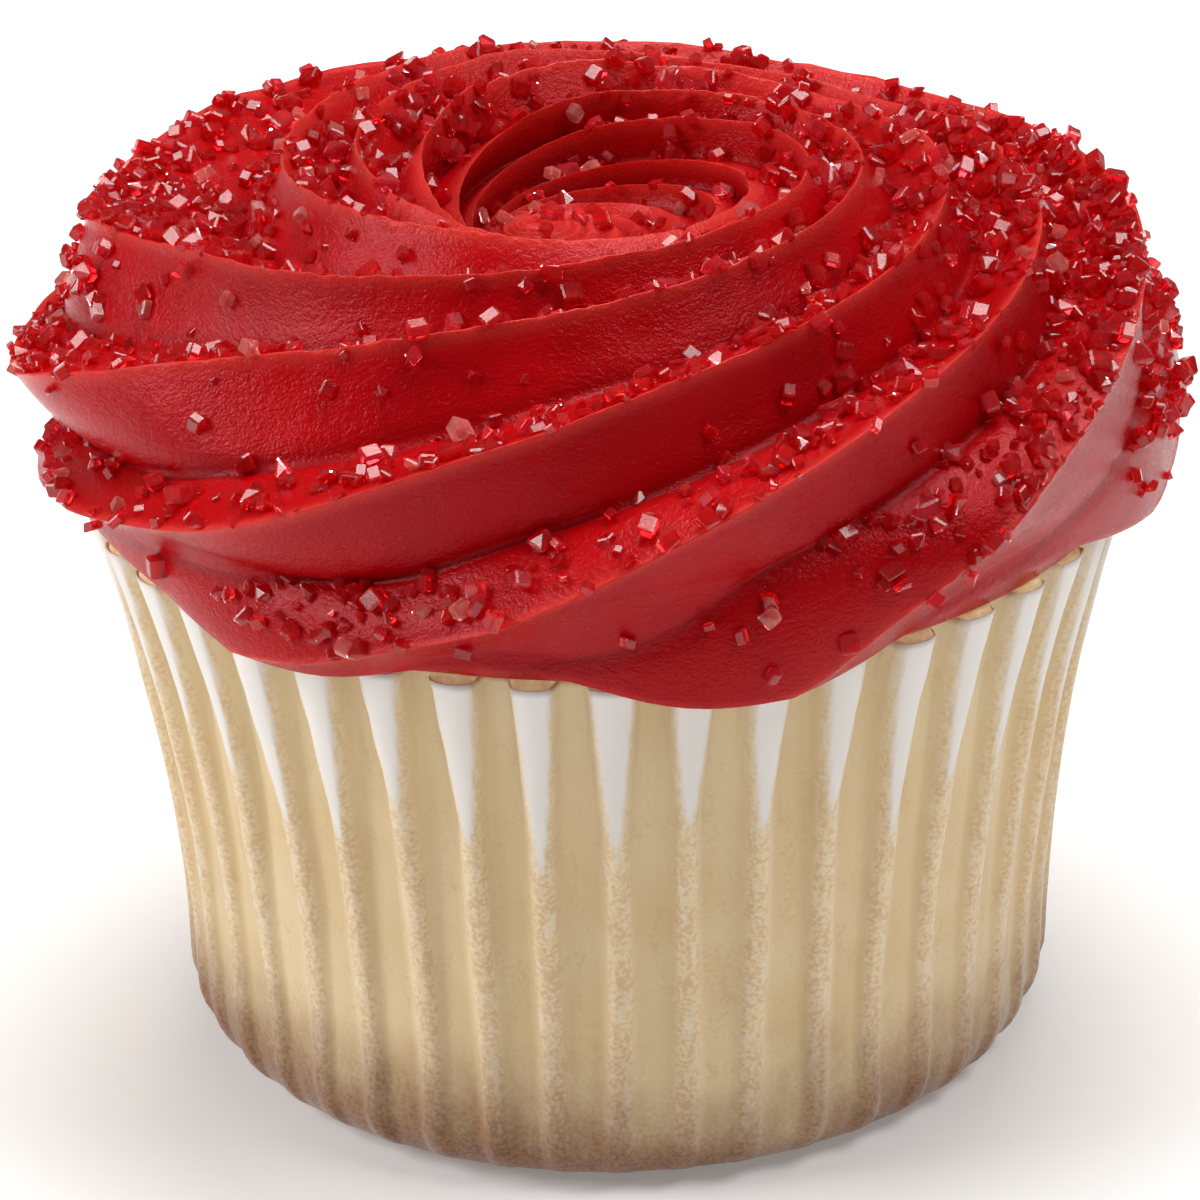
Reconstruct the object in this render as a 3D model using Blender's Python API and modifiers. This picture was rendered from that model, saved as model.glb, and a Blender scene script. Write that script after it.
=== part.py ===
"""A frosted cupcake: a fluted paper case, the sponge baked in it, and a piped buttercream rosette.

The cupcake stands on the flat bottom of its paper case. The origin is at the middle of that
bottom, +Z is up, and the side that is usually shown faces -Y.
"""
import math

import bmesh
import bpy
import numpy as np

MM = 0.001                      # all sizes below are in millimetres

# ---- driving dimensions ------------------------------------------------------------------------
GAP = 0.3                       # clearance between pieces that touch

# paper case: flat bottom, rounded corner, flared and fluted wall
BASE_FLAT_RADIUS = 22.0
WALL_FOOT_RADIUS = 26.0
WALL_FOOT_HEIGHT = 4.0          # where the rounded corner runs into the wall
RIM_HEIGHT = 35.6
WALL_LEAN = 0.0293              # slope of the wall at its foot
WALL_FLARE = 0.00416            # how quickly that slope grows with height, per mm
PAPER = 0.35
FLUTES = 42
FLUTE_COLUMNS = 4               # mesh columns in one flute: two on its crest, two in its fold
FLUTE_DEPTH_FOOT = 0.7
FLUTE_DEPTH_RIM = 2.0
FLUTE_RUN_OUT = 2.3             # below this height the folds flatten into the bottom

# sponge: fills the case up to the folds and crowns above the rim
SPONGE_EDGE_HEIGHT = 34.6
SPONGE_CROWN_HEIGHT = 39.5
SPONGE_STEPS = 36

# buttercream rosette: a dome with a small cup in the middle, cut by five spiral grooves.
# Lengths along the dome are counted from its middle.
SWIRL_CENTRE = (-0.05, 0.3)
SIDE_RADIUS = 34.3              # radius at SIDE_HEIGHT, where the dome's foot stands upright
SIDE_HEIGHT = 41.6
DOME_RISE = 13.6
DOME_POWER = 2.5                # above 2 the shoulder is fuller than an ellipse
UNDERCUT = 0.05                 # how the side draws in below SIDE_HEIGHT, per mm
SKIRT_HEIGHT = 35.9
CUP_DEPTH = 8.3
CUP_RADIUS = 8.6
CUP_POWER = 2.9
HILL_RISE = 4.2                 # a low hill in the middle of the cup, where the spiral starts
HILL_RADIUS = 5.5
SHOULDER_LENGTH = 32.8          # the shoulder is pushed out in a band round this length,
SHOULDER_WIDTH = 4.2            # this wide,
SHOULDER_PUSH = 2.5             # by this much all round,
SHOULDER_LOPSIDE = 2.5          # and by this much more in one direction
SHOULDER_SIDE = 123.0           # degrees
LEAN = (0.035, -0.03)           # the dome's slope along X and Y, growing from the skirt
LEAN_RISE = 8.0                 # height over which it grows

# Each ridge: the angle where an even spiral would leave the skirt, and how late it runs there.
RIDGE_STARTS = (24.7, 83.3, 164.5, 237.1, 297.9)
RIDGE_DELAYS = (-24.3, 14.6, -9.5, -26.9, -18.5)
SPIRAL_LENGTH = 46.3            # length of a ridge's start
SPIRAL_TURN = 264.8             # degrees in which the length shrinks by a factor e
WANDER = 24.1                   # degrees, how far the hand strays from an even spiral
WANDER_AT_MIDDLE = 165.1        # degrees, direction of the stray at the middle and at the skirt
WANDER_AT_SKIRT = -52.6
GROOVE_DEPTH = 3.7
GROOVE_SHARE = 0.46             # a groove's depth is at most this share of the ridge spacing
GROOVE_PLACE = 0.51             # place of the groove between a ridge, 0, and the next one out, 1
CREST_POWER = 1.5               # the crests are sharp, the grooves round
GROOVE_FADE = 5.9               # the grooves run out over this length above the skirt
SHALLOW_SIDE = 0.52             # the grooves lose this share of their depth low on the +X side
SHALLOW_FROM = 33.0
SHALLOW_OVER = 8.0
SCALLOPS = 5                    # waves of the skirt's edge, with a low one in front
SCALLOP = 1.0                   # their rise and fall
TUCK = 1.6                      # how far the skirt draws in where it rises
SKIRT_BAND = 5.0                # the waves run out over this length
SKIRT_LIP = 0.6                 # width of the skirt's underside

RIDGE_COLUMNS = 7               # mesh columns from one crest to the next
MIDDLE_LENGTH = 4.2             # length of the mesh row next to the middle


def clear_scene():
    for item in list(bpy.data.objects):
        bpy.data.objects.remove(item)


def make_collection(name):
    collection = bpy.data.collections.new(name)
    bpy.context.scene.collection.children.link(collection)
    return collection


def make_material(name, color, roughness, subsurface=0.0):
    material = bpy.data.materials.new(name)
    material.use_nodes = True
    shader = material.node_tree.nodes["Principled BSDF"]
    shader.inputs["Base Color"].default_value = (*color, 1.0)
    shader.inputs["Roughness"].default_value = roughness
    shader.inputs["Metallic"].default_value = 0.0
    shader.inputs["Subsurface Weight"].default_value = subsurface
    return material


def add_part(name, mesh, material, collection):
    part = bpy.data.objects.new(name, mesh)
    part.data.materials.append(material)
    collection.objects.link(part)
    return part


# ---- paper case and sponge ---------------------------------------------------------------------
def wall_radius(height):
    """Outer radius of the paper wall, on the crests of its flutes."""
    rise = height - WALL_FOOT_HEIGHT
    return WALL_FOOT_RADIUS + WALL_LEAN * rise + WALL_FLARE * rise * rise


def flute_depth(height):
    """The folds are shallow where the batter pressed them out, and deep at the rim."""
    share = height / RIM_HEIGHT
    depth = FLUTE_DEPTH_FOOT + (FLUTE_DEPTH_RIM - FLUTE_DEPTH_FOOT) * share ** 1.5
    return depth * min(1.0, height / FLUTE_RUN_OUT)


def case_profile():
    """Points (radius, height) of the paper, from the middle of the bottom to the rim."""
    corner = WALL_FOOT_RADIUS - BASE_FLAT_RADIUS
    points = [(0.0, 0.0), (BASE_FLAT_RADIUS, 0.0)]
    for turn in (math.pi / 4, math.pi / 2):
        radius = BASE_FLAT_RADIUS + corner * math.sin(turn)
        points.append((radius, WALL_FOOT_HEIGHT * (1.0 - math.cos(turn))))
    for share in (0.36, 0.70, 1.0):
        height = WALL_FOOT_HEIGHT + share * (RIM_HEIGHT - WALL_FOOT_HEIGHT)
        points.append((wall_radius(height), height))
    return points


def turned_mesh(name, profile, steps):
    """A profile spun round the Z axis, as a mesh in metres."""
    build = bmesh.new()
    points = [build.verts.new((radius * MM, 0.0, height * MM)) for radius, height in profile]
    edges = [build.edges.new(pair) for pair in zip(points, points[1:])]
    bmesh.ops.spin(build, geom=points + edges, cent=(0, 0, 0), axis=(0, 0, 1),
                   angle=2.0 * math.pi, steps=steps, use_merge=True)
    bmesh.ops.remove_doubles(build, verts=build.verts, dist=0.001 * MM)
    bmesh.ops.recalc_face_normals(build, faces=build.faces)
    mesh = bpy.data.meshes.new(name)
    build.to_mesh(mesh)
    build.free()
    return mesh


def press_flutes(mesh):
    """Moves every second pair of columns inwards, which leaves flat-topped flutes."""
    columns = FLUTES * FLUTE_COLUMNS
    for vertex in mesh.vertices:
        x, y, z = vertex.co / MM
        radius = math.hypot(x, y)
        if radius < BASE_FLAT_RADIUS / 2:
            continue
        column = round(math.atan2(y, x) / (2.0 * math.pi) * columns)
        folded = column % FLUTE_COLUMNS >= FLUTE_COLUMNS // 2
        scale = 1.0 - folded * flute_depth(z) / radius
        vertex.co.x *= scale
        vertex.co.y *= scale


def make_case(collection):
    mesh = turned_mesh("paper_case", case_profile(), FLUTES * FLUTE_COLUMNS)
    press_flutes(mesh)
    paper = make_material("case_paper", (0.86, 0.78, 0.58), 0.65)
    case = add_part("paper_case", mesh, paper, collection)
    wall = case.modifiers.new("thickness", "SOLIDIFY")
    wall.thickness = PAPER * MM
    wall.offset = -1.0
    return case


def inset(points, distance):
    """The profile moved inwards, square to its own direction."""
    line = np.array(points)
    along = np.gradient(line, axis=0)
    along /= np.linalg.norm(along, axis=1)[:, None]
    return line + distance * np.stack([-along[:, 1], along[:, 0]], axis=1)


def sponge_top(radius):
    """Height of the crowned sponge."""
    edge = wall_radius(SPONGE_EDGE_HEIGHT) - flute_depth(SPONGE_EDGE_HEIGHT) - PAPER - GAP
    share = min(1.0, radius / edge)
    return SPONGE_EDGE_HEIGHT + (SPONGE_CROWN_HEIGHT - SPONGE_EDGE_HEIGHT) * (1.0 - share ** 2)


def make_sponge(collection):
    folds = [(radius - flute_depth(height), height) for radius, height in case_profile()]
    folds[0] = (0.0, 0.0)
    wall = inset(folds, PAPER + GAP)
    wall = [(max(0.0, radius), height) for radius, height in wall]
    wall[0] = (0.0, PAPER + GAP)
    wall[1] = (wall[1][0], PAPER + GAP)
    edge_share = (SPONGE_EDGE_HEIGHT - wall[-2][1]) / (wall[-1][1] - wall[-2][1])
    edge = wall[-2][0] + edge_share * (wall[-1][0] - wall[-2][0])
    profile = wall[:-1] + [(edge, SPONGE_EDGE_HEIGHT)]
    for share in (0.9, 0.7, 0.4, 0.0):
        profile.append((share * edge, sponge_top(share * edge)))
    mesh = turned_mesh("sponge", profile, SPONGE_STEPS)
    crumb = make_material("sponge", (0.72, 0.47, 0.20), 0.85)
    return add_part("sponge", mesh, crumb, collection)


# ---- buttercream rosette -----------------------------------------------------------------------
def dome_height(radius):
    """Height of the rosette's crests at a radius, with the cup in the middle."""
    share = radius / SIDE_RADIUS
    dome = SIDE_HEIGHT + DOME_RISE * math.sqrt(max(0.0, 1.0 - share ** DOME_POWER))
    cup = CUP_DEPTH * math.exp(-(radius / CUP_RADIUS) ** CUP_POWER)
    return dome - cup + HILL_RISE * math.exp(-(radius / HILL_RADIUS) ** 2)


def crest_outline():
    """The outline through the crests, from the middle to the skirt's edge, as three arrays:
    its own length, the radius and the height."""
    top_radii = SIDE_RADIUS * np.sin(np.linspace(0.0, math.pi / 2, 200))
    top_heights = np.array([dome_height(radius) for radius in top_radii])
    side_heights = np.linspace(SIDE_HEIGHT, SKIRT_HEIGHT, 20)[1:]
    side_radii = SIDE_RADIUS - UNDERCUT * (SIDE_HEIGHT - side_heights) ** 2
    radii = np.concatenate([top_radii, side_radii])
    heights = np.concatenate([top_heights, side_heights])
    steps = np.hypot(np.diff(radii), np.diff(heights))
    lengths = np.concatenate([[0.0], np.cumsum(steps)])
    return lengths, radii, heights


def between_ridges(values, ridge, turn=0.0):
    """A value given for each ridge, read at a ridge number. A fraction is a place in the groove
    after that ridge, and turn is what a whole round of ridges adds."""
    count = len(values)
    whole = math.floor(ridge)
    here = values[whole % count] + turn * (whole // count)
    after = values[(whole + 1) % count] + turn * ((whole + 1) // count)
    return here + (ridge - whole) * (after - here)


def spiral_angle(ridge, length):
    """Angle in radians of a ridge, at a length from the middle."""
    share = length / SPIRAL_LENGTH
    even = between_ridges(RIDGE_STARTS, ridge, 360.0) - SPIRAL_TURN * math.log(share)
    even += between_ridges(RIDGE_DELAYS, ridge) * min(1.1, share) ** 3
    even = math.radians(even)
    side = math.radians(WANDER_AT_MIDDLE + (WANDER_AT_SKIRT - WANDER_AT_MIDDLE) * min(1.0, share))
    angle = even
    for _ in range(14):
        angle = even - math.radians(WANDER * math.cos(angle + side))
    return angle


def groove_depth(ridge, length, edge_length, angle):
    """Depth of the surface below the crests' outline, which is 0 at each whole ridge number."""
    place = ridge - math.floor(ridge)
    if place < GROOVE_PLACE:
        away = 1.0 - place / GROOVE_PLACE
    else:
        away = (place - GROOVE_PLACE) / (1.0 - GROOVE_PLACE)
    spacing = length * 360.0 / len(RIDGE_STARTS) / SPIRAL_TURN
    depth = min(GROOVE_DEPTH, GROOVE_SHARE * spacing)
    depth *= min(1.0, (edge_length - length) / GROOVE_FADE)
    low = min(1.0, max(0.0, (length - SHALLOW_FROM) / SHALLOW_OVER))
    depth *= 1.0 - SHALLOW_SIDE * low * (0.5 + 0.5 * math.cos(angle)) ** 2
    return depth * (1.0 - away ** CREST_POWER)


def rosette_rings():
    """Closed rings of points over the rosette, from the skirt's edge to the middle. From one
    ring to the next a ridge turns by one column, so that the mesh follows the ridges."""
    lengths, radii, heights = crest_outline()
    slope_out = np.gradient(radii, lengths)
    slope_up = np.gradient(heights, lengths)
    edge = lengths[-1]
    columns = len(RIDGE_STARTS) * RIDGE_COLUMNS
    rows = round(SPIRAL_TURN * math.log(edge / MIDDLE_LENGTH) / (360.0 / columns))
    rings = []
    for row in range(rows + 1):
        length = edge * (MIDDLE_LENGTH / edge) ** (row / rows)
        radius = np.interp(length, lengths, radii)
        height = np.interp(length, lengths, heights)
        out = np.interp(length, lengths, slope_out)
        up = np.interp(length, lengths, slope_up)
        at_skirt = max(0.0, 1.0 - (edge - length) / SKIRT_BAND)
        band = math.exp(-((length - SHOULDER_LENGTH) / SHOULDER_WIDTH) ** 2)
        ring = []
        for column in range(columns):
            ridge = column / RIDGE_COLUMNS
            angle = spiral_angle(ridge, length)
            wave = math.cos(SCALLOPS * (angle + math.pi / 2)) * -at_skirt
            depth = groove_depth(ridge, length, edge, angle)
            lopside = SHOULDER_LOPSIDE * math.cos(angle - math.radians(SHOULDER_SIDE))
            reach = radius + depth * up + band * (SHOULDER_PUSH + lopside)
            reach -= TUCK * (at_skirt + wave) / 2.0
            level = height - depth * out + SCALLOP * wave
            x = SWIRL_CENTRE[0] + reach * math.cos(angle)
            y = SWIRL_CENTRE[1] + reach * math.sin(angle)
            risen = min(1.0, max(0.0, (level - SKIRT_HEIGHT) / LEAN_RISE))
            ring.append((x, y, level + (LEAN[0] * x + LEAN[1] * y) * risen))
        rings.append(ring)
    return rings


def underside_rings(edge_ring):
    """Rings under the rosette, from the middle to the skirt: over the crown, then the rim."""
    rim_clear = RIM_HEIGHT + GAP
    outside_rim = wall_radius(RIM_HEIGHT) + 2.0 * GAP
    over_edge = wall_radius(RIM_HEIGHT) - FLUTE_DEPTH_RIM - PAPER
    rings = []
    for share in (0.25, 0.6, 0.85):
        ring = []
        for x, y, _ in edge_ring:
            scale = share * over_edge / math.hypot(x, y)
            ring.append((x * scale, y * scale, sponge_top(share * over_edge) + 1.2 * GAP))
        rings.append(ring)
    over, lip = [], []
    for x, y, _ in edge_ring:
        reach = math.hypot(x, y)
        inner = min(outside_rim, reach - SKIRT_LIP)
        over.append((x * over_edge / reach, y * over_edge / reach, rim_clear))
        lip.append((x * inner / reach, y * inner / reach, rim_clear))
    return rings + [over, lip]


def loft(name, rings, first_point, last_point):
    """A closed mesh through rings of equal counts, with a fan to a point at each end."""
    build = bmesh.new()
    loops = [[build.verts.new(np.array(point) * MM) for point in ring] for ring in rings]
    count = len(rings[0])
    for lower, upper in zip(loops, loops[1:]):
        for k in range(count):
            after = (k + 1) % count
            build.faces.new((lower[k], lower[after], upper[k]))
            build.faces.new((lower[after], upper[after], upper[k]))
    for loop, point in ((loops[0], first_point), (loops[-1], last_point)):
        tip = build.verts.new(np.array(point) * MM)
        for k in range(count):
            build.faces.new((loop[k], loop[(k + 1) % count], tip))
    bmesh.ops.recalc_face_normals(build, faces=build.faces)
    mesh = bpy.data.meshes.new(name)
    build.to_mesh(mesh)
    build.free()
    return mesh


def make_frosting(collection):
    top = rosette_rings()
    under = underside_rings(top[0])
    lowest = (0.0, 0.0, sponge_top(0.0) + 1.2 * GAP)
    middle = (*SWIRL_CENTRE, dome_height(0.0))
    mesh = loft("frosting", under + top, lowest, middle)
    mesh.shade_smooth()
    mesh.set_sharp_from_angle(angle=math.radians(40))
    cream = make_material("buttercream", (0.58, 0.010, 0.016), 0.38)
    return add_part("frosting", mesh, cream, collection)


def main():
    clear_scene()
    cupcake = make_collection("cupcake")
    make_case(cupcake)
    make_sponge(cupcake)
    make_frosting(cupcake)


main()
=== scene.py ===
# %% [markdown]
# # A frosted cupcake
# The cupcake has four kinds of thing to see: a fluted paper case, the sponge that shows at its
# open rim, a swirl of red buttercream and the coarse sugar scattered on it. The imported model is
# the fixed frame: it says how big each piece is and where it sits. This lesson makes the fine
# surfaces around that frame. All sizes are in millimetres and turned into metres on the way
# into Blender.

# %% Load the frame
import math

import bmesh
import bpy
import numpy as np
from mathutils import Euler, Matrix, Vector, noise


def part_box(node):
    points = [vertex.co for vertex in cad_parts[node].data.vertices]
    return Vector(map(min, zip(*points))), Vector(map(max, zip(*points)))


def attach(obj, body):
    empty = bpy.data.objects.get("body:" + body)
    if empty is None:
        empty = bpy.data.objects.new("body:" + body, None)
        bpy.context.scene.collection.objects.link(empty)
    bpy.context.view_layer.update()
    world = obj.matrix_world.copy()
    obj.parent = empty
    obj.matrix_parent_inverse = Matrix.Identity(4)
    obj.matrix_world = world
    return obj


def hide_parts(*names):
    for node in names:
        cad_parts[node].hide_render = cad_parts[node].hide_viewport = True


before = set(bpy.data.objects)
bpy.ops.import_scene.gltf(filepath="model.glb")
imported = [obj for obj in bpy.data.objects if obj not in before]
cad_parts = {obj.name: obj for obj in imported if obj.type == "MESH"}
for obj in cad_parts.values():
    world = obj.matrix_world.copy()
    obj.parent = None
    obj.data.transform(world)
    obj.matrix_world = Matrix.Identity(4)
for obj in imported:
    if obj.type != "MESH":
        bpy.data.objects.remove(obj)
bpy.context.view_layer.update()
MM = 0.001

# %% [markdown]
# ## Small helpers for meshes
# The case, the sponge and the cream all run round an axis, so one helper makes them: it takes
# rings of points and closes them into a body. The rings come as a numpy array, because numpy
# works out a hundred thousand points in one go, where a Python loop would take minutes.

# %% Make a closed mesh from rings


def add_piece(name, points, faces):
    """A new object from points in metres and faces."""
    mesh = bpy.data.meshes.new(name)
    mesh.from_pydata(points.tolist(), [], faces)
    mesh.update()
    piece = bpy.data.objects.new(name, mesh)
    bpy.context.scene.collection.objects.link(piece)
    print(name, "has", len(mesh.polygons), "faces")
    return piece


def closed_rings(name, rings, slanted=False):
    """A closed mesh through rings (row, column, xyz) in mm, with a fan to the middle of each
    end. A slanted mesh splits its quads towards the next column."""
    rows, columns, _ = rings.shape
    ends = rings[[0, -1]].mean(axis=1)
    points = np.concatenate([rings.reshape(-1, 3), ends]) * MM
    row, column = np.meshgrid(np.arange(rows - 1), np.arange(columns), indexing="ij")
    here = row * columns + column
    after = row * columns + (column + 1) % columns
    if slanted:
        lower = np.stack([here, after, here + columns], axis=-1)
        upper = np.stack([after, after + columns, here + columns], axis=-1)
        faces = np.concatenate([lower.reshape(-1, 3), upper.reshape(-1, 3)]).tolist()
    else:
        faces = np.stack([here, after, after + columns, here + columns], axis=-1)
        faces = faces.reshape(-1, 4).tolist()
    first, last = rows * columns, rows * columns + 1
    top_row = (rows - 1) * columns
    for k in range(columns):
        after = (k + 1) % columns
        faces.append([after, k, first])
        faces.append([top_row + k, top_row + after, last])
    piece = add_piece(name, points, faces)
    piece.data.shade_smooth()
    return piece


# %% [markdown]
# ## Masks, steps and noise
# Three more helpers serve every piece. A mask carries a number for each point into a material,
# where an image would need a seam. A soft step blends two shapes without a kink. Noise makes
# things uneven, and its seed keeps two noises of one size apart.

# %% Masks, steps and noise


def add_mask(piece, name, values):
    """Stores one number for each point, which a material can read by that name."""
    values = np.append(values.reshape(-1), [0.0, 0.0])
    mask = piece.data.attributes.new(name, "FLOAT", "POINT")
    mask.data.foreach_set("value", values.astype(np.float32))


def smooth_step(low, high, values):
    """Rises softly from 0 at low to 1 at high."""
    share = np.clip((values - low) / (high - low), 0.0, 1.0)
    return share * share * (3.0 - 2.0 * share)


def roughen(points, size, seed=0.0):
    """Smooth noise between about -1 and 1 for each point, with bumps of that size in mm."""
    flat = points.reshape(-1, 3) / size + seed
    return np.array([noise.noise(Vector(point)) for point in flat]).reshape(points.shape[:-1])


print("a soft step a quarter of the way up stands at", smooth_step(0.0, 1.0, 0.25))

# %% [markdown]
# ## Small helpers for materials
# A material is a graph of nodes, and its maths is easier to read as plain expressions. `Wire`
# wraps one socket, so that `1 - mask * 0.5` adds its two Math nodes. `Finish` is a material
# whose `node` method makes every other node: first its settings, then its sockets.

# %% Write materials as expressions


class Wire:
    """One output socket that takes part in arithmetic."""

    def __init__(self, finish, socket):
        self.finish = finish
        self.socket = socket

    def math(self, operation, first, second):
        return self.finish.node("Math", {"operation": operation}, {0: first, 1: second})

    def __add__(self, other):
        return self.math("ADD", self, other)

    def __sub__(self, other):
        return self.math("SUBTRACT", self, other)

    def __rsub__(self, other):
        return self.math("SUBTRACT", other, self)

    def __mul__(self, other):
        return self.math("MULTIPLY", self, other)

    __radd__ = __add__
    __rmul__ = __mul__


class Finish:
    """A material with a Principled shader."""

    def __init__(self, name, **fixed):
        self.material = bpy.data.materials.new(name)
        self.material.use_nodes = True
        self.tree = self.material.node_tree
        self.shader = self.tree.nodes["Principled BSDF"]
        for socket, value in fixed.items():
            self.shader.inputs[socket.replace("_", " ")].default_value = value
        self.place = self.node("TexCoord", output="Object")

    def feed(self, socket, value):
        if isinstance(value, Wire):
            self.tree.links.new(value.socket, socket)
        else:
            socket.default_value = value

    def node(self, kind, settings=None, sockets=None, output=0):
        made = self.tree.nodes.new("ShaderNode" + kind)
        for name, value in (settings or {}).items():
            if name == "stops":
                ramp = made.color_ramp.elements
                ramp[0].position, ramp[1].position = value[0][0], value[-1][0]
                ramp[0].color, ramp[1].color = value[0][1], value[-1][1]
                for position, color in value[1:-1]:
                    ramp.new(position).color = color
            else:
                setattr(made, name, value)
        for name, value in (sockets or {}).items():
            self.feed(made.inputs[name], value)
        return Wire(self, made.outputs[output])

    def mask(self, name):
        return self.node("Attribute", {"attribute_name": name}, output="Fac")

    def grain(self, size, detail=2.0, stretch=(1.0, 1.0, 1.0), distortion=0.0):
        """Noise between 0 and 1 with grains of that size in mm."""
        place = self.node("VectorMath", {"operation": "MULTIPLY"}, {0: self.place, 1: stretch})
        sockets = {"Vector": place, "Scale": 1.0 / (size * MM), "Detail": detail}
        sockets["Distortion"] = distortion
        return self.node("TexNoise", None, sockets, "Fac")

    def ramp(self, value, low, high):
        """Rises softly from 0 at low to 1 at high."""
        settings = {"interpolation_type": "SMOOTHSTEP"}
        sockets = {"Value": value, "From Min": low, "From Max": high}
        return self.node("MapRange", settings, sockets, "Result")

    def mix(self, share, first, second):
        """A colour between two colours."""
        sockets = {0: share, 6: first, 7: second}
        return self.node("Mix", {"data_type": "RGBA"}, sockets, 2)

    def bump(self, height, depth, strength=1.0):
        """Feeds the shader's normal with relief of that depth in mm."""
        sockets = {"Height": height, "Distance": depth * MM, "Strength": strength}
        self.feed(self.shader.inputs["Normal"], self.node("Bump", None, sockets))

    def paint(self, socket, value):
        self.feed(self.shader.inputs[socket], value)


def color(red, green, blue):
    """A colour as the eye counts it, from 0 to 255, in the linear form that a shader takes."""
    shares = [part / 255.0 for part in (red, green, blue)]
    linear = [((share + 0.055) / 1.055) ** 2.4 if share > 0.04 else share / 12.92
              for share in shares]
    return (*linear, 1.0)


print("a middle grey of 128 reflects", round(color(128, 128, 128)[0], 3), "of the light")

# %% [markdown]
# ## The paper case
# A cupcake case is a disc of thin greaseproof paper pressed into a cup, so its wall has to fold
# up into flutes. Where the batter pressed the paper out, only a narrow ridge is left of each
# fold. Above the batter the fold stays open and wide. The wall could be an extruded star shape,
# but then every flute would be the same from top to bottom. Here the wall is a function of the
# height and of the place across one flute, so each flute can narrow, lean and pinch by itself.

# %% Sizes of the paper case, as in the frame
RIM_HEIGHT = 35.6
BASE_FLAT_RADIUS = 22.0
WALL_FOOT_RADIUS = 26.0
WALL_FOOT_HEIGHT = 4.0          # where the rounded corner runs into the wall
WALL_LEAN = 0.0293              # slope of the wall at its foot
WALL_FLARE = 0.00416            # how quickly that slope grows with height, per mm
FLUTES = 42


def wall_radius(height):
    """Outer radius of the paper on the crests of its flutes."""
    rise = np.maximum(height - WALL_FOOT_HEIGHT, 0.0)
    corner = WALL_FOOT_RADIUS - BASE_FLAT_RADIUS
    turn = np.arccos(np.clip(1.0 - height / WALL_FOOT_HEIGHT, -1.0, 1.0))
    foot = BASE_FLAT_RADIUS + corner * np.sin(np.minimum(turn, math.pi / 2))
    return foot + WALL_LEAN * rise + WALL_FLARE * rise * rise


rim_radius = wall_radius(RIM_HEIGHT)
print("one flute is", round(2.0 * math.pi * rim_radius / FLUTES, 2), "mm wide at the rim")

# %% [markdown]
# ## How the flutes differ
# In a real case no two flutes are alike: each leans a little, wavers, and opens at its own
# height. A noise over the wall could do that too, but it wouldn't know where one flute ends. So
# every flute draws its own numbers once, from a seeded generator that gives the same case again.

# %% Each flute's own numbers
case_rng = np.random.default_rng(7)
flute_shift = case_rng.uniform(-0.05, 0.05, FLUTES)         # sideways, in flutes
flute_pinch = case_rng.uniform(21.0, 25.5, FLUTES)          # height in mm where it opens
flute_width = case_rng.uniform(0.235, 0.275, FLUTES)        # half its open width, in flutes
flute_wave = case_rng.uniform(0.0, 2.0 * math.pi, FLUTES)   # start of its wavering
flute_depth = case_rng.uniform(0.85, 1.12, FLUTES)          # its share of the plain depth
print("the lowest flute opens at", round(flute_pinch.min(), 1), "mm and the highest at",
      round(flute_pinch.max(), 1), "mm")

# %% [markdown]
# ## The shape of one fold
# Seen from above, a fold is a crest that falls to a valley on both sides. Low on the wall the
# crest is a pinched ridge with soft sides. Towards the rim it widens into a rounded tongue with
# steep sides, and there the paper stands clear of the sponge and stays dry.

# %% Across one fold
SWAY = 0.05                     # how far a ridge wavers, in flutes
SWAY_LENGTH = 5.0               # height in mm over which it wavers
OPENING_POWER = 0.7             # under 1, a fold opens quickly and then runs up straight
PINCHED_HALF = 0.07             # half the width of a pinched ridge, in flutes
SIDE_WIDTH = 0.22               # width of a fold's side at its pinch, in flutes
SIDE_TIGHTENS = 0.14            # how much narrower the side is at the rim
PUFF = 0.07                     # how far the sponge presses a valley out, in fold depths
ROUNDING = 0.16                 # how far a tongue falls away from its middle, in fold depths
DRY_EDGES = (0.05, 0.03)        # blur of the dry patch's edge, and how much sharper one side is
DRY_FADE = 1.5                  # height in mm over which the dry patch starts


def flute_place(angle):
    """Flutes counted round the case, with a crest straight in front."""
    return angle / (2.0 * math.pi) * FLUTES + FLUTES * 0.25


def fold_shape(angle, height):
    """How deep a point lies in a fold, from 0 on a crest to 1 in a valley, and how dry the
    paper is there, from 0 where it lies on the sponge to 1 on the open crest."""
    place = flute_place(angle) + 0.5
    flute = np.floor(place).astype(int) % FLUTES
    centred = place - np.floor(place) - 0.5
    below_rim = 1.0 - height / RIM_HEIGHT
    sway = SWAY * np.sin(height / SWAY_LENGTH + flute_wave[flute]) * below_rim
    across = centred + flute_shift[flute] * below_rim + sway
    away = np.abs(across)
    pinch = flute_pinch[flute]
    opening = np.clip((height - pinch) / (RIM_HEIGHT - pinch), 0.0, 1.0)
    open_half = flute_width[flute] * opening ** OPENING_POWER
    half = np.maximum(PINCHED_HALF, open_half)
    side = SIDE_WIDTH - SIDE_TIGHTENS * opening
    fold = smooth_step(half, half + side, away)
    puffed = PUFF * smooth_step(0.2, 0.5, np.abs(centred)) * fold
    rounded = ROUNDING * (np.minimum(away, half) / half) ** 2 * opening * (1.0 - fold)
    edge = DRY_EDGES[0] - DRY_EDGES[1] * smooth_step(-0.1, 0.1, across)
    dry = smooth_step(-edge, edge, open_half - away)
    return fold - puffed + rounded, dry * smooth_step(0.0, DRY_FADE, height - pinch)


beside_crest = np.full(3, (0.25 / FLUTES - 0.25) * 2.0 * math.pi)
example, _ = fold_shape(beside_crest, np.array([5.0, 20.0, RIM_HEIGHT]))
print("a quarter of a flute from a crest, up the wall:", np.round(example, 2), "of a fold deep")

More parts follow.
